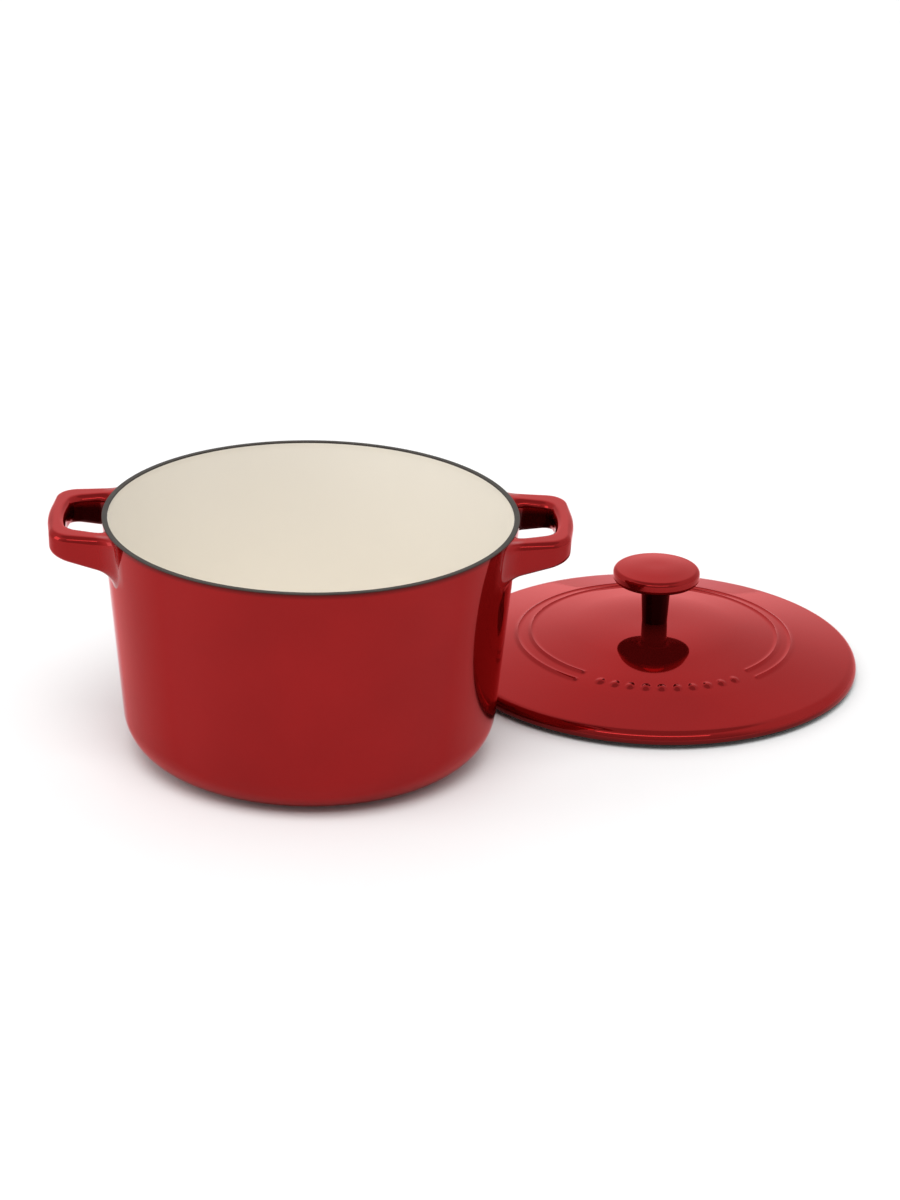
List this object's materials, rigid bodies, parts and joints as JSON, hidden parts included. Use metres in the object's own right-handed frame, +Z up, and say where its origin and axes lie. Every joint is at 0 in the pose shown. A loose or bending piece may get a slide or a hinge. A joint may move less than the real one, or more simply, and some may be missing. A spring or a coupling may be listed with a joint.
{
  "type": "dutch oven",
  "caption": "Deep round enamelled cast iron pot with loop handles and a slightly domed lid with a mushroom knob, shown taken off beside the pot.",
  "frame": {"origin": "centre of the pot's flat base, on the surface that pot and lid stand on", "axes": "+Z up along the pot's axis; X through both loop handles, +X towards the lid's side; Y across them, with the lid lying towards +X and +Y"},
  "size_m": [0.4838, 0.3626, 0.1444],
  "materials": {
    "bare_iron": "matte grey-black bare iron",
    "red_enamel": "glossy red vitreous enamel",
    "cream_enamel": "glossy cream vitreous enamel",
    "black_enamel": "matte black ground coat",
    "steel": "plain stainless steel"
  },
  "bodies": {
    "pot": {"pot_casting": "bare_iron", "pot_outer_enamel": "red_enamel", "pot_inner_enamel": "cream_enamel", "pot_base_enamel": "black_enamel"},
    "lid": {"lid_casting": "bare_iron", "lid_outer_enamel": "red_enamel", "lid_inner_enamel": "cream_enamel", "knob_casting": "bare_iron", "knob_enamel": "red_enamel", "knob_screw": "steel", "flat_washer": "steel", "lock_washer": "steel"}
  },
  "joints": [
    {"name": "lid_lift", "type": "slide", "parent": "pot", "child": "lid", "axis": [0.3676, 0.2085, 0.9063], "range_m": [0, 0.25]}
  ]
}
